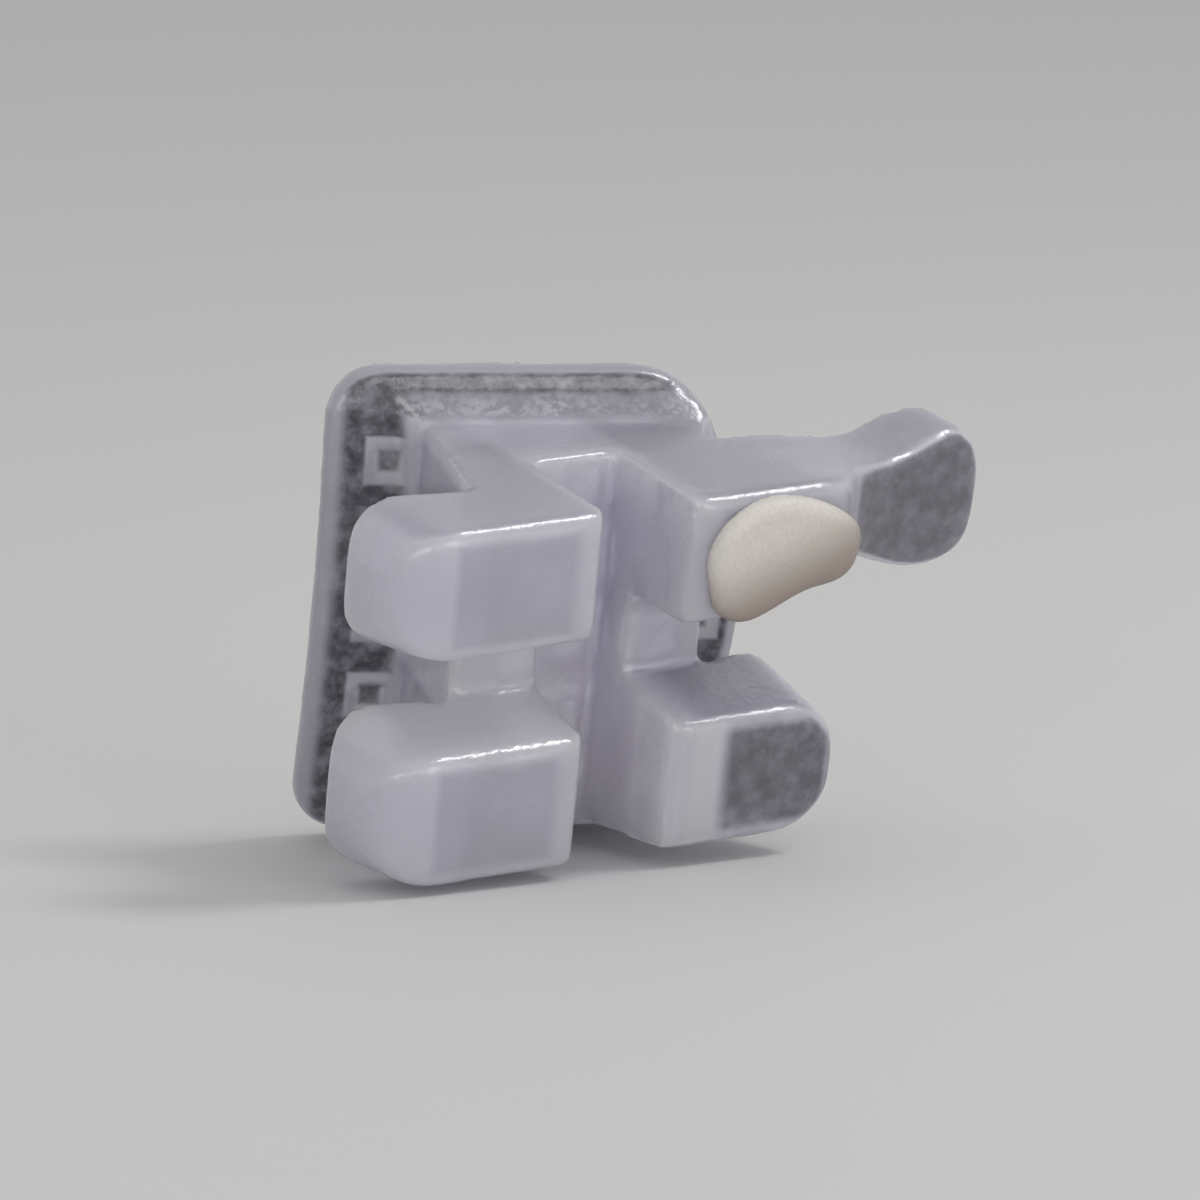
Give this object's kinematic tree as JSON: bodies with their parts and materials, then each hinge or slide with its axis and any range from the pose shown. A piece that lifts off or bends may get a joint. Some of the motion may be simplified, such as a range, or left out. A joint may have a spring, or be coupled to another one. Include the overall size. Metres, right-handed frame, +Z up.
{
  "type": "orthodontic bracket",
  "caption": "Small translucent ceramic tooth bracket with an archwire slot between tie wings, one of them drawn out into a hook and marked with a drop of cream paint.",
  "frame": {"origin": "centre of the archwire slot's floor", "axes": "+Z up as the bracket lies on its side, about 13 degrees off the slot's own direction; +X across the slot towards the hook; the slot opens towards -Y"},
  "size_m": [0.0042, 0.0026, 0.0028],
  "materials": {
    "alumina": "satin, translucent",
    "mark_paint": "satin"
  },
  "bodies": {
    "root": {"bracket_body": "alumina", "colour_mark": "mark_paint"}
  },
  "joints": []
}
